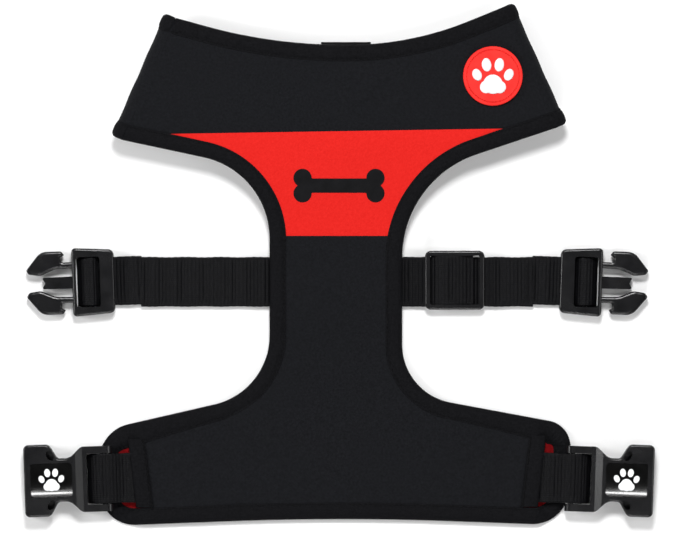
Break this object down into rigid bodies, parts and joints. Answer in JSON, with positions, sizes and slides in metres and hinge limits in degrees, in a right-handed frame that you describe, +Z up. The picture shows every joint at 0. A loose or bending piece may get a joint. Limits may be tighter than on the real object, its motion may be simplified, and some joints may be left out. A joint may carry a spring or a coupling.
{
  "type": "dog harness vest",
  "caption": "Neoprene dog harness vest laid flat, with red chest band, rubber paw badge, belly wings and webbing girth strap with side-release buckles.",
  "frame": {"origin": "middle of the bottom of the bounding box, on the surface the vest lies on", "axes": "+X across the vest to the viewer's right, along its longest extent; +Y towards the neck opening; +Z up, out of the front face"},
  "size_m": [0.3188, 0.2617, 0.0209],
  "materials": {
    "black_neoprene": "matte",
    "red_neoprene": "matte",
    "red_lining": "matte",
    "binding_tape": "matte",
    "webbing": "satin",
    "moulded_plastic": "satin",
    "label_gloss": "gloss",
    "badge_red": "satin",
    "badge_white": "satin",
    "ring_metal": "gloss"
  },
  "bodies": {
    "vest": {"neck_panel": "black_neoprene", "chest_band": "red_neoprene", "body_panel": "black_neoprene", "front_lining": "red_lining", "front_neck_binding": "binding_tape", "left_side_binding": "binding_tape", "right_side_binding": "binding_tape", "belly_binding": "binding_tape", "left_shoulder_fold": "black_neoprene", "right_shoulder_fold": "black_neoprene", "left_back_panel": "black_neoprene", "right_back_panel": "black_neoprene", "back_lining": "red_lining", "back_neck_binding": "binding_tape", "left_back_lower_binding": "binding_tape", "right_back_lower_binding": "binding_tape", "dorsal_strap": "webbing", "girth_strap": "webbing", "ring_tab": "webbing", "badge_disc": "badge_red", "badge_emblem": "badge_white"},
    "ring": {"lead_ring": "ring_metal"},
    "left_wing": {"left_wing_panel": "black_neoprene", "left_wing_lining": "red_lining", "left_wing_binding": "binding_tape", "left_pocket_binding": "binding_tape", "left_socket_strap": "webbing"},
    "right_wing": {"right_wing_panel": "black_neoprene", "right_wing_lining": "red_lining", "right_wing_binding": "binding_tape", "right_pocket_binding": "binding_tape", "right_socket_strap": "webbing"},
    "left_socket": {"left_socket_shell": "moulded_plastic", "left_socket_label": "label_gloss"},
    "right_socket": {"right_socket_shell": "moulded_plastic", "right_socket_label": "label_gloss"},
    "left_strap": {"left_strap_run": "webbing"},
    "left_plug": {"left_plug_frame": "moulded_plastic", "left_plug_webbing": "webbing"},
    "left_latch_a": {"left_upper_latch": "moulded_plastic"},
    "left_latch_b": {"left_lower_latch": "moulded_plastic"},
    "slider": {"strap_slider": "moulded_plastic", "slider_webbing": "webbing"},
    "right_strap": {"right_strap_run": "webbing"},
    "right_plug": {"right_plug_frame": "moulded_plastic", "right_plug_webbing": "webbing"},
    "right_latch_a": {"right_upper_latch": "moulded_plastic"},
    "right_latch_b": {"right_lower_latch": "moulded_plastic"}
  },
  "joints": [
    {"name": "lead_ring_swing", "type": "hinge", "parent": "vest", "child": "ring", "pos_m": [0.0035, 0.088, 0.0022], "axis": [1, 0, 0], "range_deg": [0, 100]},
    {"name": "left_wing_fold", "type": "hinge", "parent": "vest", "child": "left_wing", "pos_m": [-0.062, -0.1, 0.0022], "axis": [0, 1, 0], "range_deg": [0, 90]},
    {"name": "left_socket_pivot", "type": "hinge", "parent": "left_wing", "child": "left_socket", "pos_m": [-0.1173, -0.1073, 0.0056], "axis": [-0.0349, 0.9994, 0], "range_deg": [0, 120]},
    {"name": "right_wing_fold", "type": "hinge", "parent": "vest", "child": "right_wing", "pos_m": [0.062, -0.1, 0.0022], "axis": [0, -1, 0], "range_deg": [0, 90]},
    {"name": "right_socket_pivot", "type": "hinge", "parent": "right_wing", "child": "right_socket", "pos_m": [0.1173, -0.1073, 0.0056], "axis": [-0.0349, -0.9994, 0], "range_deg": [0, 120]},
    {"name": "left_strap_fold", "type": "hinge", "parent": "vest", "child": "left_strap", "pos_m": [-0.04, -0.008, 0.00155], "axis": [0, 1, 0], "range_deg": [0, 90]},
    {"name": "slider_travel", "type": "slide", "parent": "vest", "child": "slider", "axis": [1, 0, 0], "range_m": [-0.008, 0.009]},
    {"name": "right_strap_reach", "type": "slide", "parent": "vest", "child": "right_strap", "axis": [1, 0, 0], "range_m": [-0.009, 0.008]},
    {"name": "left_plug_pivot", "type": "hinge", "parent": "left_strap", "child": "left_plug", "pos_m": [-0.1088, -0.00744, 0.00155], "axis": [-0.0349, 0.9994, 0], "range_deg": [0, 90]},
    {"name": "left_upper_squeeze", "type": "hinge", "parent": "left_plug", "child": "left_latch_a", "pos_m": [-0.13689, 0.00038, 0.0038], "axis": [0, 0, 1], "range_deg": [0, 5.5], "stiffness_Nm_per_rad": 1},
    {"name": "left_lower_squeeze", "type": "hinge", "parent": "left_plug", "child": "left_latch_b", "pos_m": [-0.13628, -0.0172, 0.0038], "axis": [0, 0, -1], "range_deg": [0, 5.5], "stiffness_Nm_per_rad": 1},
    {"name": "right_plug_pivot", "type": "hinge", "parent": "right_strap", "child": "right_plug", "pos_m": [0.107, -0.00744, 0.00155], "axis": [-0.0349, -0.9994, 0], "range_deg": [0, 90]},
    {"name": "right_upper_squeeze", "type": "hinge", "parent": "right_plug", "child": "right_latch_a", "pos_m": [0.13509, 0.00038, 0.0038], "axis": [0, 0, -1], "range_deg": [0, 5.5], "stiffness_Nm_per_rad": 1},
    {"name": "right_lower_squeeze", "type": "hinge", "parent": "right_plug", "child": "right_latch_b", "pos_m": [0.13448, -0.0172, 0.0038], "axis": [0, 0, 1], "range_deg": [0, 5.5], "stiffness_Nm_per_rad": 1}
  ],
  "couplings": [
    {"joint": "right_strap_reach", "follows": "slider_travel", "ratio": -1}
  ]
}
